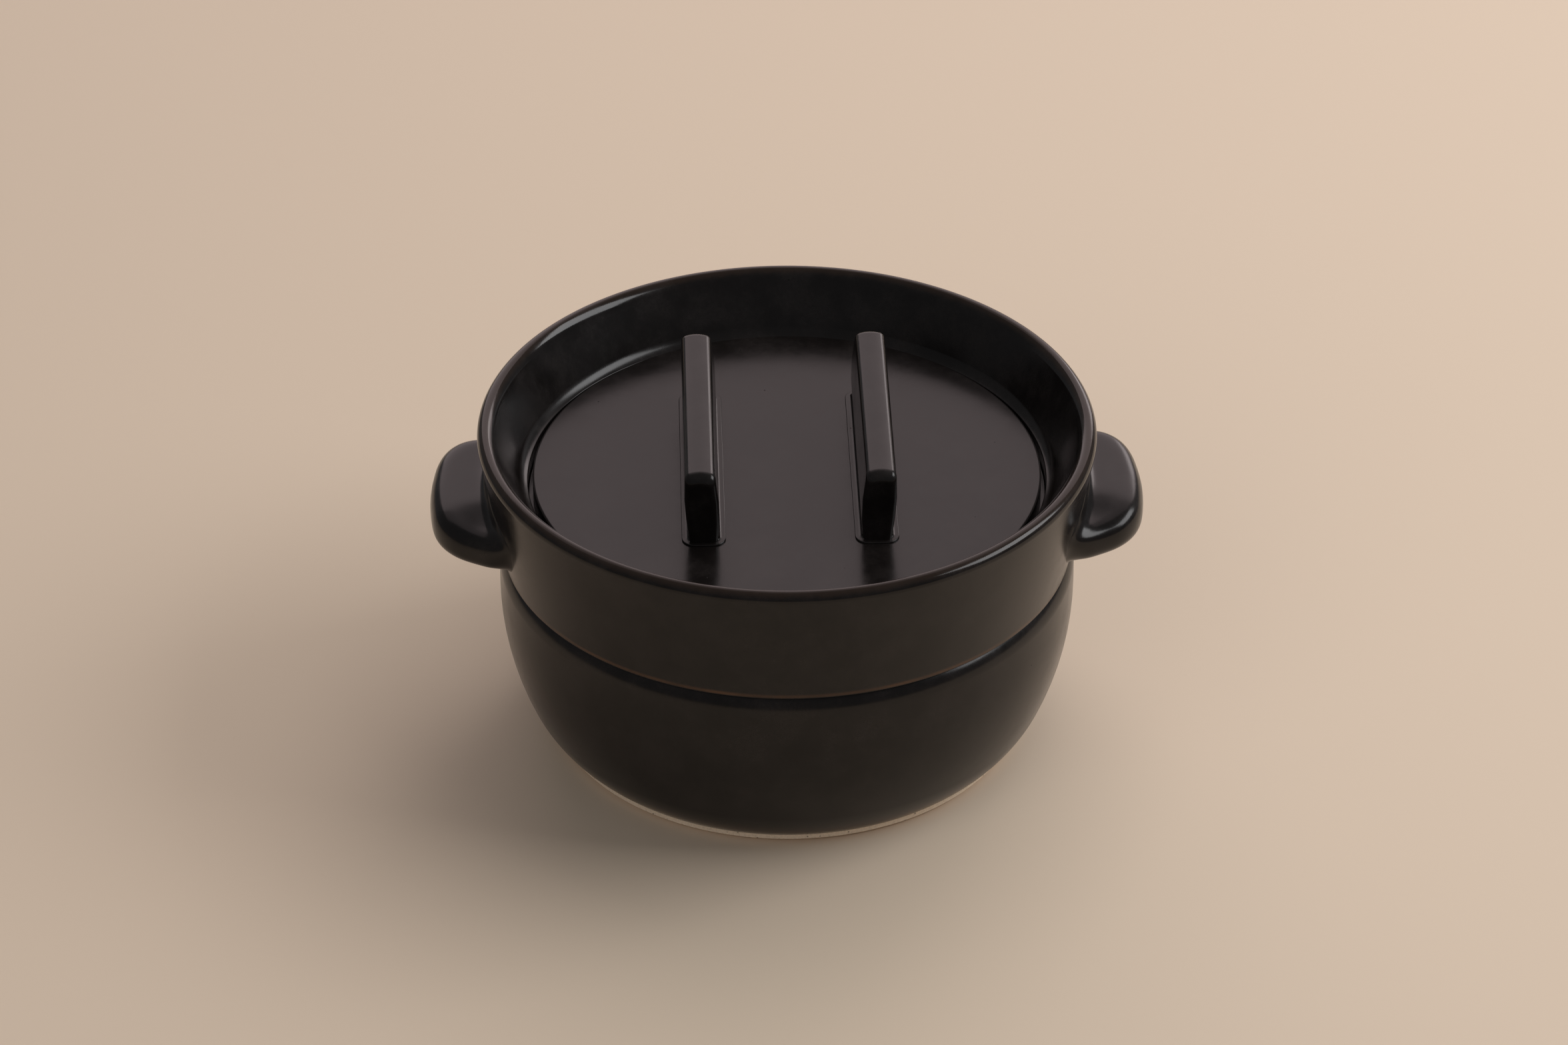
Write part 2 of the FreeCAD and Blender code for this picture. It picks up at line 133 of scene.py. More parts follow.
class BowlSizes(bpy.types.PropertyGroup):
    """Sizes of the glazed bowl, its collar and its foot."""

    rim_radius: length("Rim radius", -BOWL_LOW[1], "Outside of the lip")
    rim_height: length("Rim height", BOWL_HIGH[2], "Top of the lip above the table")
    lip_round: length("Lip round", 0.0020, "Round of the lip's top towards the inside")
    lip_soft: length("Lip softness", 0.0055, "Wider round between the lip's top and the wall")
    lip_turn: angle("Lip turn", radians(34.0), "Tilt at which the lip's top passes into the wider round")
    lip_edge: length("Lip edge", 0.0026, "Round of the lip towards the outside")
    wall_lean: angle("Wall lean", radians(26.05), "Inside of the collar from upright")
    collar_lean: angle("Collar lean", radians(9.7), "Outside of the collar from upright")
    groove_radius: length("Groove radius", 0.0884, "Lower edge of the collar, over the groove")
    groove_height: length("Groove height", 0.0642, "That edge above the table")
    groove_soften: length("Groove soften", 0.0003, "How far glaze fills the groove and rounds its edge")
    root_radius: length("Root radius", 0.0871, "Bottom of the groove")
    root_height: length("Root height", 0.0637, "Bottom of the groove above the table")
    shoulder_radius: length("Shoulder radius", 0.0894, "Where the belly's round shoulder ends")
    shoulder_height: length("Shoulder height", 0.0584, "Height at which that shoulder ends")
    belly_radius: length("Belly radius", 0.0895, "Widest part of the bowl")
    belly_foot: length("Belly foot", 0.051, "Lower end of the straight belly")
    heel_radius: length("Heel radius", 0.0827, "Where the bowl's curve tightens")
    heel_height: length("Heel height", 0.015, "Height at which the bowl's curve tightens")
    glaze_radius: length("Glaze radius", FOOT_HIGH[0], "Lower edge of the glaze, at the foot")
    foot_height: length("Foot height", FOOT_HIGH[2], "Height of the bare foot")
    foot_radius: length("Foot radius", 0.0723, "Outside of the foot on the table")
    foot_inside: length("Foot inside", 0.0623, "Inside of the foot ring")
    foot_soften: length("Foot soften", 0.0006, "Round of the foot's edges")
    foot_band: share("Foot band", 0.42, "Lower edge of the foot's upright band, in heights of the foot")
    foot_inset: share("Foot inset", 0.3, "That band's inset and upper round, in rounds of the foot's edges")
    floor_height: length("Floor height", 0.012, "Inner floor above the table")
    floor_radius: length("Floor radius", 0.053, "Flat part of the inner floor")
    inner_heel_radius: length("Inner heel radius", 0.07599, "Where the inner curve tightens")
    inner_heel_height: length("Inner heel height", 0.02401, "Height at which the inner curve tightens")
    inside_radius: length("Inside radius", 0.0824, "Widest part of the cavity")
    corbel_foot: length("Corbel foot", 0.0469, "Where the inner ledge starts to reach inwards")
    corbel_top: length("Corbel top", 0.0589, "Where the inner ledge's nose starts")
    inner_mouth: length("Inner mouth", 0.0704, "Opening under the inner lid")
    lid_mouth: length("Lid mouth", 0.0746, "Opening under the outer lid")
    ledge_soften: length("Ledge soften", 0.0008, "Round of the ledges' noses")
    lid_pocket: length("Lid pocket", 0.0799, "Pocket that the outer lid sits in")
    pocket_top: length("Pocket top", 0.0866, "Upper edge of that pocket")
    pocket_soften: length("Pocket soften", 0.0004, "Round of that edge")
    cove_radius: length("Cove radius", 0.08265, "Where the cove round the lid meets the straight wall")
    cove_height: length("Cove height", 0.08928, "Height at which they meet")


class EarSizes(bpy.types.PropertyGroup):
    """How the ears are set on the bowl."""

    root: length("Root", 0.003, "How deep an ear is set into the wall")
    top: length("Top", 0.084, "Top of an ear above the table")
    dip: length("Dip", 0.0019, "How far the top of an ear is pressed down towards its near end")
    dip_out: length("Dip out", 0.094, "Middle of that dip from the bowl's middle")
    dip_along: length("Dip along", 0.0235, "Middle of that dip along the ear")
    dip_reach: length("Dip reach", 0.015, "How far the dip runs out")
    tuck: length("Tuck", 0.0035, "How far an ear's lower corners at the wall are tucked in")
    tuck_drop: length("Tuck drop", 0.001, "How far those corners are drawn down")
    tuck_out: length("Tuck out", 0.0835, "Those corners from the bowl's middle")
    tuck_along: length("Tuck along", 0.0345, "Those corners along the ear")
    tuck_height: length("Tuck height", 0.069, "Those corners above the table")
    tuck_reach: length("Tuck reach", 0.010, "How far the tuck runs out")
    corner: length("Corner", 0.0033, "How far an ear's far corner is drawn back")
    corner_out: length("Corner out", 0.102, "That corner from the bowl's middle")
    corner_along: length("Corner along", 0.021, "That corner along the ear")
    corner_height: length("Corner height", 0.080, "That corner above the table")
    corner_reach: length("Corner reach", 0.014, "How far that draw runs out")
    grid: length("Grid", 0.00045, "Size of the faces that an ear's skin is made of")
    smoothing: IntProperty(name="Smoothing", description="Passes that even out an ear's skin",
                           default=100, min=0)


class LidSizes(bpy.types.PropertyGroup):
    """Sizes of the two lids and the knob."""

    radius: length("Lid radius", LID_HIGH[0], "Outside of the outer lid")
    top: length("Lid top", LID_HIGH[2], "Top of the outer lid")
    seat: length("Lid seat", 0.0814, "Underside of the outer lid, on its ledge")
    edge_round: length("Edge round", 0.0007, "Round of the lid's upper edge")
    guide_foot: length("Guide foot", LID_LOW[2], "Lower edge of the ring that keeps the lid in place")
    guide_outside: length("Guide outside", 0.0736, "Outside of that ring")
    guide_inside: length("Guide inside", 0.0686, "Inside of that ring")
    soften: length("Soften", 0.0007, "Round of the small edges")
    inner_radius: length("Inner lid radius", INNER_HIGH[0], "Outside of the inner lid")
    inner_seat: length("Inner lid seat", INNER_LOW[2], "Underside of the inner lid")
    inner_top: length("Inner lid top", INNER_HIGH[2], "Top of the inner lid")
    steam_hole_radius: length("Steam hole radius", 0.0045, "Radius of the steam holes")
    steam_hole_offset: length("Steam hole offset", 0.042, "Steam holes from the middle")
    steam_hole_flare: length("Steam hole flare", 0.0009, "Round at the mouths of the steam holes")
    knob_radius: length("Knob radius", KNOB_HIGH[0], "Widest part of the knob")
    knob_neck: length("Knob neck", 0.0085, "Neck of the knob")
    neck_share: share("Neck share", 0.45, "Height of that neck, in heights of the knob")
    knob_top: length("Knob top", KNOB_HIGH[2], "Top of the knob")
    knob_round: length("Knob round", 0.0026, "Round of the knob's rim")


class BarSizes(bpy.types.PropertyGroup):
    """Sizes of the bar grips on the outer lid."""

    middle: length("Middle", 0.0262, "Bar from the lid's middle, at its foot")
    setback: length("Setback", 0.0007, "Bars behind the lid's middle")
    run: length("Run", 0.084, "Length of a bar")
    height: length("Height", 0.0239, "Bar above the lid, where its crown starts")
    foot_width: length("Foot width", 0.0088, "Thickness of a bar at its foot")
    swell: length("Swell", 0.0009, "How far the outer side leans out above the foot")
    swell_height: length("Swell height", 0.008, "Height at which that lean ends")
    outer_lean: length("Outer lean", 0.0012, "Outer shoulder beyond the foot")
    inner_lean: length("Inner lean", 0.00065, "Inner shoulder inside the foot")
    crown_lean: length("Crown lean", 0.001, "Middle of the crown from the middle of the foot")
    crown_width: length("Crown width", 0.0062, "Slightly domed top of the crown")
    crown_drop: length("Crown drop", 0.0019, "Shoulders below the crown")
    end_round: length("End round", 0.0019, "Round of a bar's ends")
    top_round: length("Top round", 0.0032, "Round of a bar's crown at its ends")
    bead_width: length("Bead width", 0.0023, "Bead of slip along a bar's foot")
    bead_end: length("Bead end", 0.0012, "Bead of slip at the ends of a bar's foot")
    bead_edge: length("Bead edge", 0.00055, "Thickness of the bead's edge")
    bead_hollow: share("Bead hollow", 0.55, "Round between the bead and the bar, in widths of the bead")
    bead_soften: share("Bead soften", 0.6, "Round of the bead's edge, in thicknesses of that edge")


class GlazeLook(bpy.types.PropertyGroup):
    """The black glaze and the bare clay."""

    glaze: colour("Glaze", (0.0062, 0.0050, 0.0046), "Black of the thick glaze")
    glaze_cloud: colour("Glaze cloud", (0.0195, 0.0160, 0.0149), "Lighter clouds in the glaze")
    # Partly painted highlight: this brown of thin glaze also brightens the lip in place of a stronger
    # highlight.
    thin_glaze_and_lip_sheen: colour("Glaze thin", (0.030, 0.018, 0.012), "Brown of the thin glaze over the lip")
    glaze_edge: colour("Glaze edge", (0.12, 0.055, 0.026), "Brown of the glaze along the collar's lower edge")
    # Painted shade: the pinholes' bottoms are painted darker than the glaze, as the shade inside tiny holes.
    shaded_pinhole: colour("Pinhole", (0.001, 0.001, 0.001), "Bottom of the pinholes")
    gleam: FloatProperty(name="Gleam", description="Index of refraction of the glaze",
                         default=1.38, min=1, max=2)
    gloss: share("Gloss", 0.22, "Roughness of the glaze")
    gloss_spread: share("Gloss spread", 0.06, "How much clouds and grain change that roughness")
    lip_polish: share("Lip polish", 0.08, "How much less rough the lip is")
    pinhole_rough: share("Pinhole rough", 0.2, "How much rougher the pinholes are")
    bare_rough: share("Bare rough", 0.6, "How much rougher the bare clay below the glaze is")
    lip_brown_and_sheen_share: share("Thin share", 0.5, "How much of the black the brown hides on the lip")
    cloud_size: length("Cloud size", 0.014, "Size of the glaze's clouds")
    grain_size: length("Grain size", 0.0011, "Size of the glaze's grain")
    wave_size: length("Wave size", 0.019, "Size of the slow waves in the glaze's skin")
    peel_size: length("Peel size", 0.0028, "Size of the orange-peel dimples in the glaze's skin")
    pinhole_spacing: length("Pinhole spacing", 0.010, "Pinholes from each other")
    pinhole_radius: length("Pinhole radius", 0.0003, "Radius of a pinhole")
    thin_start: length("Thin start", 0.0011, "Where the lip's brown starts, below the rim")
    thin_full: length("Thin full", 0.0004, "Where it would be full, above the rim")
    thin_waver: length("Thin waver", 0.0012, "How uneven the brown's border is")
    thin_waver_size: length("Thin waver size", 0.004, "Size of that unevenness")
    polish_start: length("Polish start", 0.0040, "Where the lip starts to be smoother, below the rim")
    polish_full: length("Polish full", 0.0020, "Where it is smoothest, below the rim")
    bare_full: length("Bare full", 0.00015, "Where the clay is quite bare, above the foot")
    bare_end: length("Bare end", 0.0004, "Where the glaze covers it, above the foot")
    bare_waver: length("Bare waver", 0.0004, "How uneven the glaze's border is there")
    bare_waver_size: length("Bare waver size", 0.009, "Size of that unevenness")
    edge_rise: length("Edge rise", 0.0007, "Where the brown line over the groove is full, above its start")
    edge_fade: length("Edge fade", 0.0008, "Where that line starts to fade")
    edge_end: length("Edge end", 0.0020, "Where that line ends")
    edge_patch: length("Edge patch", 0.012, "Size of the patches that the line is broken into")
    outside_start: length("Outside start", 0.005, "Where the line may start, inside the groove's radius")
    outside_full: length("Outside full", 0.003, "Where the line may be full, inside the groove's radius")
    clay: colour("Clay", (0.90, 0.75, 0.58), "Bare fired clay")
    clay_dark: colour("Clay dark", (0.38, 0.25, 0.16), "Darker grains in the clay")
    clay_speck: colour("Clay speck", (0.16, 0.10, 0.065), "Specks in the clay")
    clay_rough: share("Clay rough", 0.78, "Least roughness of the clay")
    clay_rough_spread: share("Clay rough spread", 0.18, "How much the grain adds to that roughness")
    clay_grain_size: length("Clay grain size", 0.0007, "Size of the clay's grain")
    clay_grain_share: share("Clay grain share", 0.4, "How dark the grain is")
    clay_cloud_size: length("Clay cloud size", 0.011, "Size of the clay's clouds")
    clay_cloud_share: share("Clay cloud share", 0.12, "How dark the clouds are")
    speck_spacing: length("Speck spacing", 0.0022, "Specks in the clay from each other")
    speck_radius: length("Speck radius", 0.00035, "Radius of a speck")
    speck_share: share("Speck share", 0.7, "How dark the specks are")


class StageLook(bpy.types.PropertyGroup):
    """Floor, light and camera."""

    floor: colour("Floor", (0.70, 0.57, 0.44), "Plain pale floor")
    floor_shade: share("Floor shade", 0.9, "Brightness of the floor's faint clouds")
    floor_cloud_size: length("Floor cloud size", 0.35, "Size of those clouds")
    floor_cloud_share: share("Floor cloud share", 0.06, "How much those clouds show")
    floor_rough: share("Floor rough", 0.7, "Roughness of the floor")
    floor_grain_size: length("Floor grain size", 0.002, "Size of the floor's grain")
    room: colour("Room", (0.14, 0.14, 0.145), "Even light from all round")
    lens: FloatProperty(name="Lens", description="Focal length of the camera in millimetres",
                        default=114.8, min=1)
    distance: length("Distance", 1.55384, "Camera from the point that it looks at")
    elevation: angle("Elevation", radians(33.70), "Camera above the horizon")
    turn: angle("Turn", radians(-1.66), "Camera round the pot, anticlockwise from the front")
    aim_side: FloatProperty(name="Aim side", description="Point that the camera looks at, to the right",
                            default=-0.00089, precision=5, subtype="DISTANCE", unit="LENGTH")
    aim_height: length("Aim height", 0.06817, "Height of the point that the camera looks at")


class Value:
    """A shader socket that takes part in Python sums. Each sum adds a Math node."""

    def __init__(self, finish, socket):
        self.finish = finish
        self.socket = socket

    def sum(self, operation, first, second):
        """A Math node on two sockets or numbers."""
        return self.finish.node("ShaderNodeMath", {"operation": operation}, {0: first, 1: second})

    def __add__(self, other):
        return self.sum("ADD", self, other)

    def __radd__(self, other):
        return self.sum("ADD", other, self)

    def __sub__(self, other):
        return self.sum("SUBTRACT", self, other)

    def __rsub__(self, other):
        return self.sum("SUBTRACT", other, self)

    def __mul__(self, other):
        return self.sum("MULTIPLY", self, other)

    def __rmul__(self, other):
        return self.sum("MULTIPLY", other, self)


class Finish:
    """A material and the nodes that make its look."""

    def __init__(self, name):
        self.material = bpy.data.materials.new(name)
        self.material.use_nodes = True
        self.tree = self.material.node_tree
        self.tree.nodes.clear()

    def node(self, kind, settings=None, inputs=None, output=0):
        """Adds a node, sets it up, fills its sockets and gives one of its outputs."""
        made = self.tree.nodes.new(kind)
        for key, value in (settings or {}).items():
            setattr(made, key, value)
        for key, value in (inputs or {}).items():
            if isinstance(value, Value):
                self.tree.links.new(value.socket, made.inputs[key])
            else:
                made.inputs[key].default_value = value
        return Value(self, made.outputs[output]) if made.outputs else None

    def place(self):
        """Object coordinates."""
        return self.node("ShaderNodeTexCoord", output="Object")

    def height(self):
        """Height above the table, in metres."""
        return self.node("ShaderNodeSeparateXYZ", inputs={0: self.place()}, output="Z")

    def away(self):
        """Distance from the bowl's upright axis, in metres."""
        flat = self.node("ShaderNodeVectorMath", {"operation": "MULTIPLY"}, {0: self.place(), 1: (1, 1, 0)})
        return self.node("ShaderNodeVectorMath", {"operation": "LENGTH"}, {0: flat}, output="Value")

    def noise(self, size, detail=2.0, rough=0.5):
        """Soft random clouds of about this size in metres, from 0 to 1."""
        return self.node("ShaderNodeTexNoise", {"noise_dimensions": "3D"},
                         {"Vector": self.place(), "Scale": 1 / size, "Detail": detail, "Roughness": rough})

    def ramp(self, value, low, high):
        """0 where a value is under low, 1 where it is over high, and smooth between them."""
        return self.node("ShaderNodeMapRange", {"interpolation_type": "SMOOTHSTEP"},
                         {"Value": value, "From Min": low, "From Max": high, "To Min": 0.0, "To Max": 1.0})

    def mix(self, factor, first, second):
        """The first colour where the factor is 0 and the second where it is 1."""
        # A Mix node numbers its sockets over all kinds of data: 6 and 7 are the colours in, 2 the colour out.
        return self.node("ShaderNodeMix", {"data_type": "RGBA"}, {0: factor, 6: first, 7: second}, output=2)

    def specks(self, spacing, radius):
        """1 in small round specks of this radius, about as far apart as the spacing, and 0 elsewhere."""
        inputs = {"Vector": self.place(), "Scale": 1 / spacing, "Randomness": 1.0}
        distance = self.node("ShaderNodeTexVoronoi", {"feature": "F1"}, inputs, output="Distance")
        return 1 - self.ramp(distance, SPECK_CORE * radius / spacing, radius / spacing)

    def bump(self, height):
        """A normal that follows a height in millimetres."""
        inputs = {"Strength": 1.0, "Distance": MILLIMETRE, "Height": height}
        return self.node("ShaderNodeBump", inputs=inputs)

    def surface(self, inputs):
        """Ends the material in one shader."""
        shader = self.node("ShaderNodeBsdfPrincipled", inputs=inputs)
        self.node("ShaderNodeOutputMaterial", inputs={"Surface": shader})
        return self.material


def solid(rgb):
    """A colour with the fourth number that sockets want."""
    return (*rgb, 1.0)


def glaze_finish(look, bowl=None):
    """Satin black glaze: faint clouds, orange-peel skin and a few pinholes darkened with painted shade.

    On the bowl it runs thin and brown over the lip, a brown that is also a painted highlight brightening the
    lip, and along the collar's lower edge; it is smoother on the lip, and ends at the bare clay of the foot.
    """
    name = "bowl_glaze_finish" if bowl else "lid_glaze_finish"
    made = bpy.data.materials.get(name)
    if made:
        return made
    finish = Finish(name)
    cloud = finish.ramp(finish.noise(look.cloud_size, detail=4.0, rough=0.65), low=0.36, high=0.70)
    grain = finish.noise(look.grain_size, detail=3.0, rough=0.6)
    wave = finish.noise(look.wave_size, detail=1.0)
    peel = finish.noise(look.peel_size)
    # Pinholes are tiny pits in the skin; their colour is painted shade, their roughness and depth are real.
    shaded_pinhole = finish.specks(look.pinhole_spacing, look.pinhole_radius)
    black = finish.mix(cloud * grain, solid(look.glaze), solid(look.glaze_cloud))
    coloured = finish.mix(shaded_pinhole, black, solid(look.shaded_pinhole))
    rough = look.gloss + look.gloss_spread * (cloud - 0.5) + look.gloss_spread * (grain - 0.5)
    rough = rough + look.pinhole_rough * shaded_pinhole
    skin = GLAZE_WAVE * wave + GLAZE_PEEL * peel + GLAZE_GRAIN * grain - PINHOLE_DEPTH * shaded_pinhole
    if bowl:
        rim = bowl.rim_height
        foot = bowl.foot_height
        groove = bowl.groove_radius
        height = finish.height()
        above = height - bowl.groove_height
        # Mask for the lip's brown, which is thin glaze and also a painted highlight on the lip.
        thin_height = height + look.thin_waver * finish.noise(look.thin_waver_size)
        lip = finish.ramp(thin_height, rim - look.thin_start, rim + look.thin_full)
        smooth = finish.ramp(height, rim - look.polish_start, rim - look.polish_full)
        bare_height = height + look.bare_waver * finish.noise(look.bare_waver_size)
        bare = 1 - finish.ramp(bare_height, foot + look.bare_full, foot + look.bare_end)
        outside = finish.ramp(finish.away(), groove - look.outside_start, groove - look.outside_full)
        rise = finish.ramp(above, 0.0, look.edge_rise)
        fade = finish.ramp(above, look.edge_fade, look.edge_end)
        edge = outside * (rise * (1 - fade)) * finish.noise(look.edge_patch)
        # The lip's brown: thin glaze, and a painted highlight that lightens the lip.
        lip_brown_and_sheen = finish.mix(lip * look.lip_brown_and_sheen_share, coloured, solid(look.thin_glaze_and_lip_sheen))
        edged = finish.mix(edge, lip_brown_and_sheen, solid(look.glaze_edge))
        coloured = finish.mix(bare, edged, solid(look.clay))
        rough = rough + look.bare_rough * bare - look.lip_polish * smooth
    return finish.surface({"Base Color": coloured, "Roughness": rough, "Normal": finish.bump(skin),
                           "IOR": look.gleam})


def clay_finish(look):
    """Bare fired clay: open grain with darker specks and a dry surface."""
    finish = Finish("bare_clay_finish")
    grain = finish.noise(look.clay_grain_size, detail=4.0, rough=0.7)
    cloud = finish.noise(look.clay_cloud_size)
    speck = finish.specks(look.speck_spacing, look.speck_radius)
    dark = finish.ramp(grain, low=0.40, high=0.80) * look.clay_grain_share
    grained = finish.mix(dark, solid(look.clay), solid(look.clay_dark))
    clouded = finish.mix(cloud * look.clay_cloud_share, grained, solid(look.clay_dark))
    coloured = finish.mix(speck * look.speck_share, clouded, solid(look.clay_speck))
    rough = look.clay_rough + look.clay_rough_spread * grain
    skin = CLAY_GRAIN * grain + CLAY_CLOUD * cloud - CLAY_SPECK * speck
    return finish.surface({"Base Color": coloured, "Roughness": rough, "Normal": finish.bump(skin)})


def floor_finish(look):
    """Plain pale floor with the faintest clouds."""
    finish = Finish("pale_floor_finish")
    cloud = finish.noise(look.floor_cloud_size) * look.floor_cloud_share
    shaded = [look.floor_shade * part for part in look.floor]
    coloured = finish.mix(cloud, solid(look.floor), solid(shaded))
    skin = FLOOR_GRAIN * finish.noise(look.floor_grain_size)
    normal = finish.bump(skin)
    return finish.surface({"Base Color": coloured, "Roughness": look.floor_rough, "Normal": normal})


def open_dot(name, place):
    """Starts a new mesh as one selected vertex in edit mode."""
    bpy.ops.object.select_all(action="DESELECT")
    bpy.ops.mesh.primitive_plane_add(size=MILLIMETRE, location=(0, 0, 0))
    piece = bpy.context.object
    piece.name = name
    piece.data.name = name
    bpy.ops.object.mode_set(mode="EDIT")
    bpy.ops.mesh.select_mode(type="VERT")
    bpy.ops.mesh.select_all(action="SELECT")
    bpy.ops.mesh.merge(type="CENTER")
    bpy.ops.transform.translate(value=place)
    return piece


def pull(way):
    """Extrudes what is selected along a way."""
    bpy.ops.mesh.extrude_region_move(TRANSFORM_OT_translate={"value": way})


def swing(angle, centre, step):
    """Spins what is selected in the upright plane, anticlockwise as seen from the front."""
    bpy.ops.mesh.spin(steps=max(2, ceil(abs(angle) / step)), angle=angle, center=centre, axis=(0, 1, 0))


def bend_between(first, second):
    """The angle from one flat direction to another, anticlockwise."""
    return atan2(first.cross(second), first.dot(second))


def turned(way, angle):
    """A flat direction turned anticlockwise."""
    return Matrix.Rotation(angle, 2) @ way


def draw(name, start, steps, depth=0.0, step_angle=ARC_STEP):
    """Draws an outline in the upright plane: lines, arcs that go on smoothly, and arcs into the next line.

    A line's fourth entry rounds the corner at its end.
    """
    at = Vector(start)
    piece = open_dot(name, (at.x, depth, at.y))
    heading = Vector((1, 0))
    for index, (kind, *numbers) in enumerate(steps):
        end = Vector(numbers[:2])
        chord = end - at
        if kind == "line":
            way = chord.normalized()
            soften = numbers[2] if len(numbers) > 2 else 0
            heading = way
            stop = end
            if soften:
                heading = setting_off(end, steps, index + 1)
                bend = bend_between(way, heading)
                back = soften * tan(abs(bend) / 2)
                stop = end - back * way
            pull((stop.x - at.x, 0, stop.y - at.y))
            at = stop
            if soften:
                centre = stop + copysign(soften, bend) * turned(way, pi / 2)
                swing(bend, (centre.x, depth, centre.y), CORNER_STEP)
                at = end + back * heading
            continue
        if kind == "arc into":
            heading = setting_off(at, steps, index)
        sweep = 2 * bend_between(heading, chord)
        side = turned(heading, pi / 2)
        centre = at + chord.length_squared / (2 * chord.dot(side)) * side
        swing(sweep, (centre.x, depth, centre.y), step_angle)
        heading = turned(heading, sweep)
        at = end
    return piece


def setting_off(at, steps, index):
    """The direction in which a line, or an arc into the next line, leaves a point."""
    kind, *numbers = steps[index]
    chord = Vector(numbers[:2]) - at
    if kind == "line":
        return chord.normalized()
    following = Vector(steps[index + 1][1:3]) - Vector(numbers[:2])
    return turned(following.normalized(), -2 * bend_between(chord, following))


def close_up():
    """Merges what coincides and turns every face outwards."""
    bpy.ops.mesh.select_all(action="SELECT")
    bpy.ops.mesh.remove_doubles(threshold=WELD)
    bpy.ops.mesh.normals_make_consistent(inside=False)
    bpy.ops.object.mode_set(mode="OBJECT")


def throw(name, start, steps, rounds=ROUNDS, step_angle=ARC_STEP):
    """Throws a round piece, as on a wheel: draws half its section and spins it about the upright axis."""
    piece = draw(name, start, steps, step_angle=step_angle)
    bpy.ops.mesh.select_all(action="SELECT")
    bpy.ops.mesh.spin(steps=rounds, angle=2 * pi, center=AXIS, axis=UP)
    close_up()
    return piece


def only(piece):
    """Makes a piece the only selected object."""
    bpy.ops.object.select_all(action="DESELECT")
    piece.select_set(True)
    bpy.context.view_layer.objects.active = piece


def add_modifier(piece, kind, **settings):
    """Adds a modifier with its settings and applies it."""
    only(piece)
    bpy.ops.object.modifier_add(type=kind)
    modifier = piece.modifiers[-1]
    for key, value in settings.items():
        setattr(modifier, key, value)
    bpy.ops.object.modifier_apply(modifier=modifier.name)


def polish(piece):
    """Smooth shading, with flat faces kept flat up to their rounded edges."""
    only(piece)
    bpy.ops.object.shade_smooth_by_angle(angle=SHARP)
    add_modifier(piece, "WEIGHTED_NORMAL", mode="FACE_AREA", weight=80, keep_sharp=True)


def hand_over(piece, material, body, node):
    """Gives a piece its finish, and lets it ride on a body in place of a node."""
    if not piece.data.polygons:
        raise RuntimeError(f"{piece.name} has no faces")
    piece.data.materials.clear()
    piece.data.materials.append(material)
    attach(piece, body)
    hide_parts(node)


class MakeBowl(bpy.types.Operator):
    """Throws the glazed bowl with its collar, its ledges and its cavity."""

    bl_idname = "rice_pot.bowl"
    bl_label = "Bowl"

    def execute(self, context):
        sizes = context.scene.rice_pot_bowl
        lids = context.scene.rice_pot_lids
        lip = sizes.rim_radius - sizes.lip_edge
        lip_inside = (
            lip - sizes.lip_round * sin(sizes.lip_turn),
            sizes.rim_height - sizes.lip_round * (1 - cos(sizes.lip_turn)),
        )
        wall_top = (
            lip_inside[0] - sizes.lip_soft * (cos(sizes.wall_lean) - sin(sizes.lip_turn)),
            lip_inside[1] - sizes.lip_soft * (cos(sizes.lip_turn) - sin(sizes.wall_lean)),
        )
        collar_top = (
            lip + sizes.lip_edge * cos(sizes.collar_lean),
            sizes.rim_height - sizes.lip_edge * (1 + sin(sizes.collar_lean)),
        )
        corner_soften = sizes.ledge_soften / 2
        piece = throw("glazed_bowl", (0, sizes.floor_height), [
            ("line", sizes.floor_radius, sizes.floor_height),
            ("arc", sizes.inner_heel_radius, sizes.inner_heel_height),
            ("arc", sizes.inside_radius, sizes.corbel_foot),
            ("line", sizes.inner_mouth, sizes.corbel_top, sizes.ledge_soften),
            ("line", sizes.inner_mouth, lids.inner_seat, sizes.ledge_soften),
            ("line", sizes.lid_mouth, lids.inner_seat, corner_soften),
            ("line", sizes.lid_mouth, lids.seat, sizes.ledge_soften),
            ("line", sizes.lid_pocket, lids.seat, corner_soften),
            ("line", sizes.lid_pocket, sizes.pocket_top, sizes.pocket_soften),
            ("arc into", sizes.cove_radius, sizes.cove_height),
            ("line", *wall_top),
            ("arc", *lip_inside),
            ("arc", lip, sizes.rim_height),
            ("arc", *collar_top),
            ("line", sizes.groove_radius, sizes.groove_height, sizes.groove_soften),
            ("line", sizes.root_radius, sizes.root_height, sizes.groove_soften),
            ("arc into", sizes.shoulder_radius, sizes.shoulder_height),
            ("line", sizes.belly_radius, sizes.belly_foot),
            ("arc", sizes.heel_radius, sizes.heel_height),
            ("arc", sizes.glaze_radius, sizes.foot_height),
            ("line", 0, sizes.foot_height),
        ], step_angle=FINE_STEP)
        polish(piece)
        finish = glaze_finish(context.scene.rice_pot_glaze, sizes)
        hand_over(piece, finish, "pot", "pot_body")
        return {"FINISHED"}


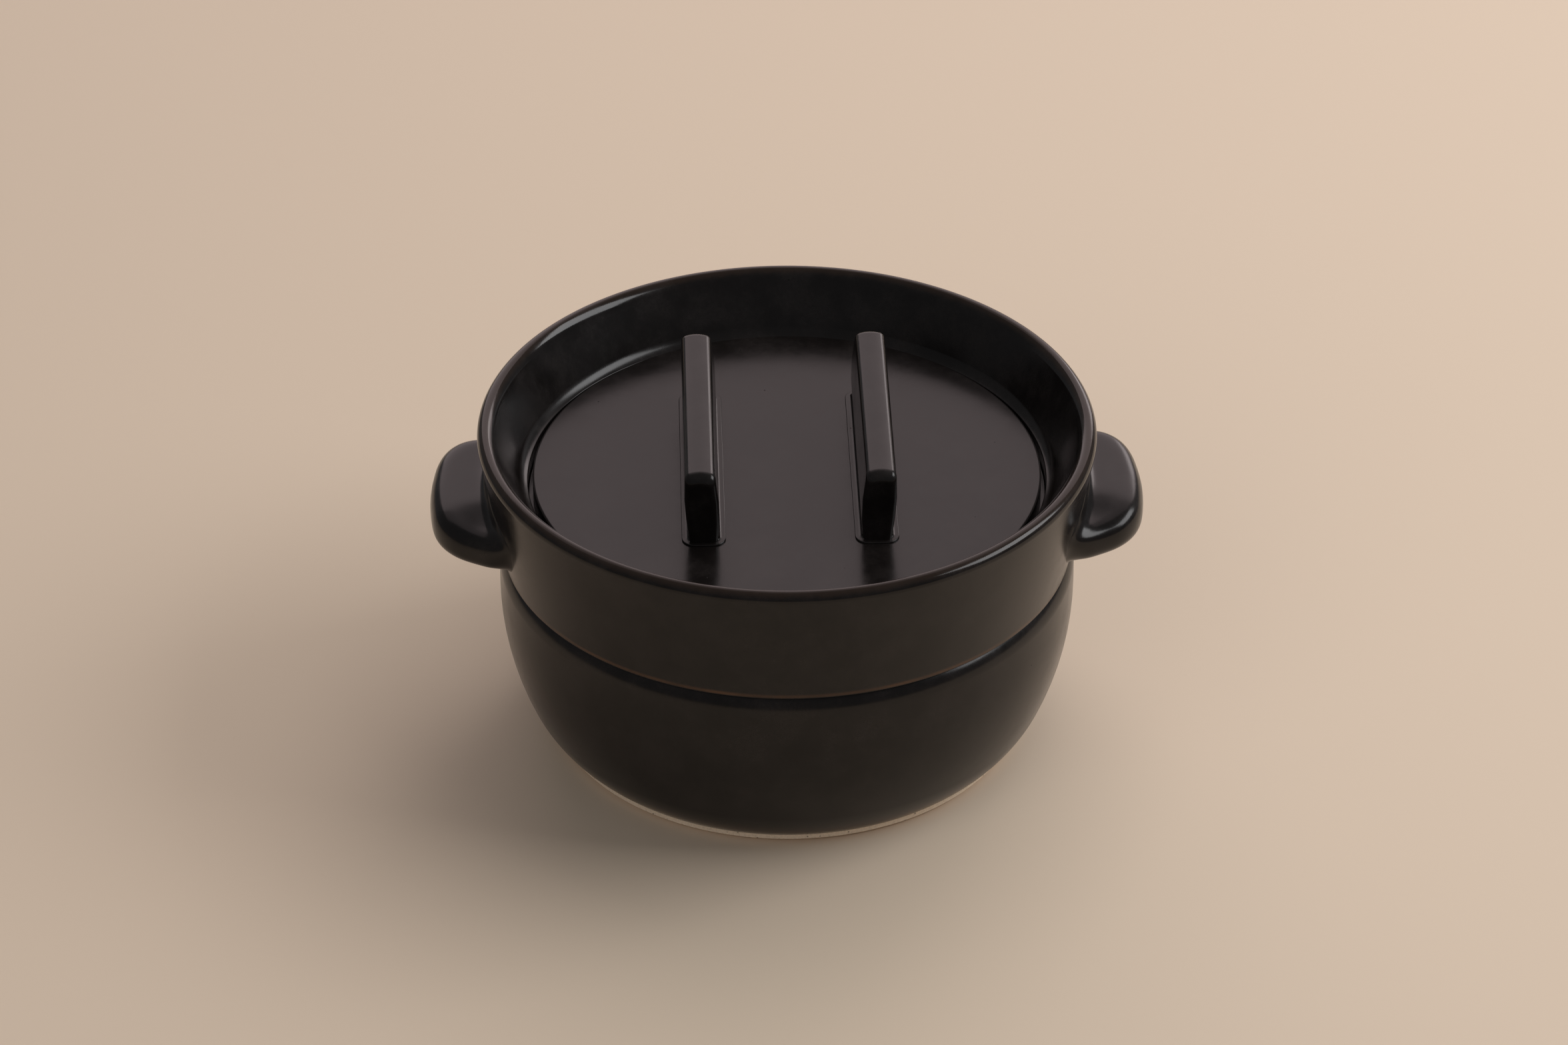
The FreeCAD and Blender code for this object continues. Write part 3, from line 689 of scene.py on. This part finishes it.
class MakeFoot(bpy.types.Operator):
    """Throws the bare ring that the bowl stands on."""

    bl_idname = "rice_pot.foot"
    bl_label = "Foot"

    def execute(self, context):
        sizes = context.scene.rice_pot_bowl
        middle = (sizes.foot_inside + sizes.foot_radius) / 2
        band = sizes.glaze_radius - sizes.foot_inset * sizes.foot_soften
        corner_soften = sizes.foot_soften / 2
        band_soften = sizes.foot_inset * sizes.foot_soften
        piece = throw("bare_foot", (middle, sizes.foot_height), [
            ("line", sizes.foot_inside, sizes.foot_height, corner_soften),
            ("line", sizes.foot_inside, 0, sizes.foot_soften),
            ("line", sizes.foot_radius, 0, corner_soften),
            ("line", band, sizes.foot_band * sizes.foot_height, sizes.foot_soften),
            ("line", band, sizes.foot_height, band_soften),
            ("line", middle, sizes.foot_height),
        ])
        polish(piece)
        hand_over(piece, clay_finish(context.scene.rice_pot_glaze), "pot", "foot_ring")
        return {"FINISHED"}


class MakeEars(bpy.types.Operator):
    """Sets the two ears into the wall, presses them into shape and gives them an even skin."""

    bl_idname = "rice_pot.ears"
    bl_label = "Ears"

    def execute(self, context):
        sizes = context.scene.rice_pot_ears
        finish = glaze_finish(context.scene.rice_pot_glaze)
        for node, side in (("left_ear", -1), ("right_ear", 1)):
            piece = bpy.data.objects.new(f"glazed_{node}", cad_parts[node].data.copy())
            context.scene.collection.objects.link(piece)
            only(piece)
            bpy.ops.mesh.customdata_custom_splitnormals_clear()
            bpy.ops.object.mode_set(mode="EDIT")
            bpy.ops.mesh.select_all(action="SELECT")
            bpy.ops.mesh.remove_doubles(threshold=WELD)
            bpy.ops.mesh.select_all(action="DESELECT")
            bpy.ops.mesh.select_mode(type="FACE")
            bpy.ops.object.mode_set(mode="OBJECT")
            for face in piece.data.polygons:
                towards_axis = -side * face.normal.x
                face.select = towards_axis > 0.5
            bpy.ops.object.mode_set(mode="EDIT")
            pull((-side * sizes.root, 0, 0))
            bpy.ops.object.mode_set(mode="OBJECT")
            add_modifier(piece, "REMESH", mode="VOXEL", voxel_size=sizes.grid, use_smooth_shade=True)
            dip = (side * sizes.dip_out, -sizes.dip_along, sizes.top)
            self.press(piece, dip, (0, 0, -sizes.dip), sizes.dip_reach)
            corner = (side * sizes.corner_out, sizes.corner_along, sizes.corner_height)
            self.press(piece, corner, (0, sizes.corner, 0), sizes.corner_reach)
            for end in (-1, 1):
                tuck = (side * sizes.tuck_out, end * sizes.tuck_along, sizes.tuck_height)
                self.press(piece, tuck, (0, -end * sizes.tuck, -sizes.tuck_drop), sizes.tuck_reach)
            add_modifier(piece, "SMOOTH", factor=0.5, iterations=sizes.smoothing)
            only(piece)
            bpy.ops.object.shade_smooth()
            hand_over(piece, finish, "pot", node)
        return {"FINISHED"}

    def press(self, piece, spot, shift, reach):
        """Presses an ear's skin at the place nearest to a spot, as with a thumb."""
        only(piece)
        bpy.ops.object.mode_set(mode="EDIT")
        bpy.ops.mesh.select_mode(type="VERT")
        bpy.ops.mesh.select_all(action="DESELECT")
        bpy.ops.object.mode_set(mode="OBJECT")
        spot = Vector(spot)
        nearest = min((dot.co - spot).length for dot in piece.data.vertices)
        for dot in piece.data.vertices:
            dot.select = (dot.co - spot).length < nearest + GRIP
        bpy.ops.object.mode_set(mode="EDIT")
        bpy.ops.transform.translate(value=shift, use_proportional_edit=True,
                                    proportional_edit_falloff="SMOOTH", proportional_size=reach)
        bpy.ops.object.mode_set(mode="OBJECT")


class MakeOuterLid(bpy.types.Operator):
    """Throws the flat outer lid with the ring that keeps it in place."""

    bl_idname = "rice_pot.outer_lid"
    bl_label = "Outer lid"

    def execute(self, context):
        sizes = context.scene.rice_pot_lids
        piece = throw("glazed_outer_lid", (0, sizes.seat), [
            ("line", sizes.guide_inside, sizes.seat, sizes.soften),
            ("line", sizes.guide_inside, sizes.guide_foot, sizes.soften),
            ("line", sizes.guide_outside, sizes.guide_foot, sizes.soften),
            ("line", sizes.guide_outside, sizes.seat, sizes.soften),
            ("line", sizes.radius, sizes.seat, sizes.soften),
            ("line", sizes.radius, sizes.top, sizes.edge_round),
            ("line", 0, sizes.top),
        ])
        polish(piece)
        finish = glaze_finish(context.scene.rice_pot_glaze)
        hand_over(piece, finish, "outer_lid", "outer_lid")
        return {"FINISHED"}


class MakeLidBars(bpy.types.Operator):
    """Models one bar grip with the bead of slip round its foot, and copies it to the other side."""

    bl_idname = "rice_pot.lid_bars"
    bl_label = "Lid bars"

    def execute(self, context):
        sizes = context.scene.rice_pot_bars
        lid_top = context.scene.rice_pot_lids.top
        right = self.bar(sizes, lid_top)
        bead = self.bead(sizes, lid_top)
        only(right)
        bead.select_set(True)
        bpy.ops.object.join()
        left = bpy.data.objects.new("glazed_left_bar", right.data.copy())
        context.scene.collection.objects.link(left)
        only(left)
        bpy.ops.object.mode_set(mode="EDIT")
        bpy.ops.mesh.select_all(action="SELECT")
        bpy.ops.transform.resize(value=(-1, 1, 1), center_override=AXIS)
        close_up()
        finish = glaze_finish(context.scene.rice_pot_glaze)
        for piece, node in ((right, "right_lid_bar"), (left, "left_lid_bar")):
            polish(piece)
            hand_over(piece, finish, "outer_lid", node)
        return {"FINISHED"}

    def bar(self, sizes, lid_top):
        """A leaning bar with a slightly domed crown, drawn in section and pulled out with rounded ends."""
        half = sizes.foot_width / 2
        shoulder = lid_top + sizes.height - sizes.crown_drop
        crown = lid_top + sizes.height
        front = sizes.setback - sizes.run / 2
        outer = sizes.middle + half
        inner = sizes.middle - half
        peak = sizes.middle + sizes.crown_lean
        piece = draw("glazed_right_bar", (inner, lid_top), [
            ("line", outer, lid_top),
            ("line", outer + sizes.swell, lid_top + sizes.swell_height),
            ("arc", outer + sizes.outer_lean, shoulder),
            ("arc", peak + sizes.crown_width / 2, crown),
            ("arc", peak - sizes.crown_width / 2, crown),
            ("arc", inner + sizes.inner_lean, shoulder),
            ("arc", inner, lid_top),
        ], depth=front)
        bpy.ops.mesh.select_all(action="SELECT")
        bpy.ops.mesh.remove_doubles(threshold=WELD)
        bpy.ops.mesh.select_all(action="SELECT")
        bpy.ops.mesh.edge_face_add()
        angles = [ring * pi / 2 / BAR_END_RINGS for ring in range(BAR_END_RINGS + 1)]
        ends = [(sizes.top_round * (1 - cos(angle)), sizes.top_round * (1 - sin(angle))) for angle in angles]
        stations = ends + [(sizes.run - along, drop) for along, drop in reversed(ends)]
        wide = 1.0
        tall = 1.0
        reached = 0.0
        for along, drop in stations:
            short = max(sizes.end_round - min(along, sizes.run - along), 0)
            inset = sizes.end_round - sqrt(sizes.end_round ** 2 - short ** 2)
            new_wide = 1 - inset / (half + sizes.swell / 2)
            new_tall = 1 - drop / sizes.height
            if along > reached:
                pull((0, along - reached, 0))
            bpy.ops.transform.resize(value=(new_wide / wide, 1, new_tall / tall),
                                     center_override=(sizes.middle + sizes.swell / 2, 0, lid_top))
            wide, tall, reached = new_wide, new_tall, along
        close_up()
        return piece

    def bead(self, sizes, lid_top):
        """The hollow bead round the foot, drawn in section and led round the bar."""
        side = sizes.middle + sizes.foot_width / 2
        hollow = sizes.bead_hollow * sizes.bead_width
        edge = sizes.bead_soften * sizes.bead_edge
        run = sizes.run / 2 - sizes.end_round
        across = sizes.foot_width / 2 - sizes.end_round
        top = lid_top + sizes.bead_edge
        piece = draw("bead", (side, top + hollow + sizes.bead_edge), [
            ("line", side, top, hollow),
            ("line", side + sizes.bead_width, top, edge),
            ("line", side + sizes.bead_width, lid_top - sizes.bead_edge),
        ], depth=sizes.setback - run)
        bpy.ops.mesh.select_all(action="SELECT")
        corners = [(1, 1), (-1, 1), (-1, -1), (1, -1)]
        ways = [(0, 2 * run, 0), (-2 * across, 0, 0), (0, -2 * run, 0), (2 * across, 0, 0)]
        for (x, y), way in zip(corners, ways):
            pull(way)
            centre = (sizes.middle + x * across, sizes.setback + y * run, lid_top)
            bpy.ops.mesh.spin(steps=BEAD_CORNER_STEPS, angle=pi / 2, center=centre, axis=(0, 0, -1))
        bpy.ops.mesh.select_all(action="SELECT")
        shorter = (sizes.run / 2 + sizes.bead_end) / (sizes.run / 2 + sizes.bead_width)
        middle = (sizes.middle, sizes.setback, lid_top)
        bpy.ops.transform.resize(value=(1, shorter, 1), center_override=middle)
        close_up()
        return piece


class MakeInnerLid(bpy.types.Operator):
    """Throws the inner lid, with two steam holes, and its knob."""

    bl_idname = "rice_pot.inner_lid"
    bl_label = "Inner lid and knob"

    def execute(self, context):
        sizes = context.scene.rice_pot_lids
        finish = glaze_finish(context.scene.rice_pot_glaze)
        lid = throw("glazed_inner_lid", (0, sizes.inner_seat), [
            ("line", sizes.inner_radius, sizes.inner_seat, sizes.soften),
            ("line", sizes.inner_radius, sizes.inner_top, sizes.soften),
            ("line", 0, sizes.inner_top),
        ])
        for side in (-1, 1):
            self.pierce(sizes, lid, side * sizes.steam_hole_offset)
        polish(lid)
        hand_over(lid, finish, "inner_lid", "inner_lid")
        neck_top = sizes.inner_top + sizes.neck_share * (sizes.knob_top - sizes.inner_top)
        neck_round = 0.6 * sizes.knob_round
        under_round = 0.8 * sizes.knob_round
        knob = throw("glazed_knob", (0, sizes.inner_top), [
            ("line", sizes.knob_neck, sizes.inner_top),
            ("line", sizes.knob_neck, neck_top, neck_round),
            ("line", sizes.knob_radius, neck_top, under_round),
            ("line", sizes.knob_radius, sizes.knob_top, sizes.knob_round),
            ("line", 0, sizes.knob_top),
        ], rounds=KNOB_ROUNDS)
        polish(knob)
        hand_over(knob, finish, "inner_lid", "inner_lid_knob")
        return {"FINISHED"}

    def pierce(self, sizes, lid, offset):
        """Cuts a hole with rounded mouths."""
        wide = sizes.steam_hole_radius + sizes.steam_hole_flare
        clear = MILLIMETRE
        low = sizes.inner_seat
        high = sizes.inner_top
        cutter = throw("steam_hole", (0, low - clear), [
            ("line", wide, low - clear),
            ("line", wide, low),
            ("line", sizes.steam_hole_radius, low, sizes.steam_hole_flare),
            ("line", sizes.steam_hole_radius, high, sizes.steam_hole_flare),
            ("line", wide, high),
            ("line", wide, high + clear),
            ("line", 0, high + clear),
        ], rounds=HOLE_ROUNDS)
        only(cutter)
        bpy.ops.object.mode_set(mode="EDIT")
        bpy.ops.mesh.select_all(action="SELECT")
        bpy.ops.transform.translate(value=(offset, 0, 0))
        bpy.ops.object.mode_set(mode="OBJECT")
        add_modifier(lid, "BOOLEAN", operation="DIFFERENCE", solver="EXACT", object=cutter)
        bpy.data.objects.remove(cutter)


class MakeStage(bpy.types.Operator):
    """Lays the plain floor and sets up the soft lights and the camera."""

    bl_idname = "rice_pot.stage"
    bl_label = "Stage"

    def execute(self, context):
        look = context.scene.rice_pot_stage
        bpy.ops.object.select_all(action="DESELECT")
        bpy.ops.mesh.primitive_plane_add(size=FLOOR_SIZE, location=(0, 0, 0))
        floor = context.object
        floor.name = "floor"
        floor.data.materials.append(floor_finish(look))
        world = bpy.data.worlds.new("room")
        context.scene.world = world
        world.use_nodes = True
        world.node_tree.nodes["Background"].inputs["Color"].default_value = solid(look.room)
        for lamp in LAMPS:
            self.lamp(*lamp)
        self.camera(look)
        return {"FINISHED"}

    def lamp(self, name, place, size, power, tint, mirrored):
        """A soft rectangular lamp that faces the pot."""
        facing = (LAMP_AIM - Vector(place)).to_track_quat("-Z", "Y").to_euler()
        bpy.ops.object.light_add(type="AREA", location=place, rotation=facing)
        lamp = bpy.context.object
        lamp.name = name
        lamp.data.shape = "RECTANGLE"
        lamp.data.size, lamp.data.size_y = size
        lamp.data.energy = power
        lamp.data.color = tint
        lamp.visible_glossy = mirrored

    def camera(self, look):
        """The camera at the viewing angle of the photograph."""
        turn = Matrix.Rotation(look.turn, 3, "Z")
        aim = turn @ Vector((look.aim_side, 0, look.aim_height))
        back = turn @ Vector((0, -cos(look.elevation), sin(look.elevation)))
        facing = back.to_track_quat("Z", "Y").to_euler()
        bpy.ops.object.camera_add(location=aim + look.distance * back, rotation=facing)
        camera = bpy.context.object
        camera.data.lens = look.lens
        camera.data.sensor_width = SENSOR_WIDTH
        bpy.context.scene.camera = camera


MAKERS = (MakeBowl, MakeFoot, MakeEars, MakeOuterLid, MakeLidBars, MakeInnerLid, MakeStage)
SETTINGS = {
    "rice_pot_bowl": BowlSizes,
    "rice_pot_ears": EarSizes,
    "rice_pot_lids": LidSizes,
    "rice_pot_bars": BarSizes,
    "rice_pot_glaze": GlazeLook,
    "rice_pot_stage": StageLook,
}


class RicePotPanel(bpy.types.Panel):
    """Lists the pot's makers and their settings."""

    bl_idname = "VIEW3D_PT_rice_pot"
    bl_label = "Rice Pot"
    bl_space_type = "VIEW_3D"
    bl_region_type = "UI"
    bl_category = "Rice Pot"

    def draw(self, context):
        for maker in MAKERS:
            self.layout.operator(maker.bl_idname)
        for name, group in SETTINGS.items():
            box = self.layout.box()
            box.label(text=group.__doc__)
            for key in group.__annotations__:
                box.prop(getattr(context.scene, name), key)


CLASSES = (*SETTINGS.values(), *MAKERS, RicePotPanel)


def register():
    """Adds the pot's makers, settings and panel."""
    for made in CLASSES:
        bpy.utils.register_class(made)
    for name, group in SETTINGS.items():
        setattr(bpy.types.Scene, name, PointerProperty(type=group))


def unregister():
    """Takes them away again."""
    for name in SETTINGS:
        delattr(bpy.types.Scene, name)
    for made in reversed(CLASSES):
        bpy.utils.unregister_class(made)


def main():
    """Makes every piece and the stage."""
    register()
    bpy.context.scene.view_settings.view_transform = "Standard"
    bpy.ops.rice_pot.bowl()
    bpy.ops.rice_pot.foot()
    bpy.ops.rice_pot.ears()
    bpy.ops.rice_pot.outer_lid()
    bpy.ops.rice_pot.lid_bars()
    bpy.ops.rice_pot.inner_lid()
    bpy.ops.rice_pot.stage()


if __name__ == "__main__":
    main()
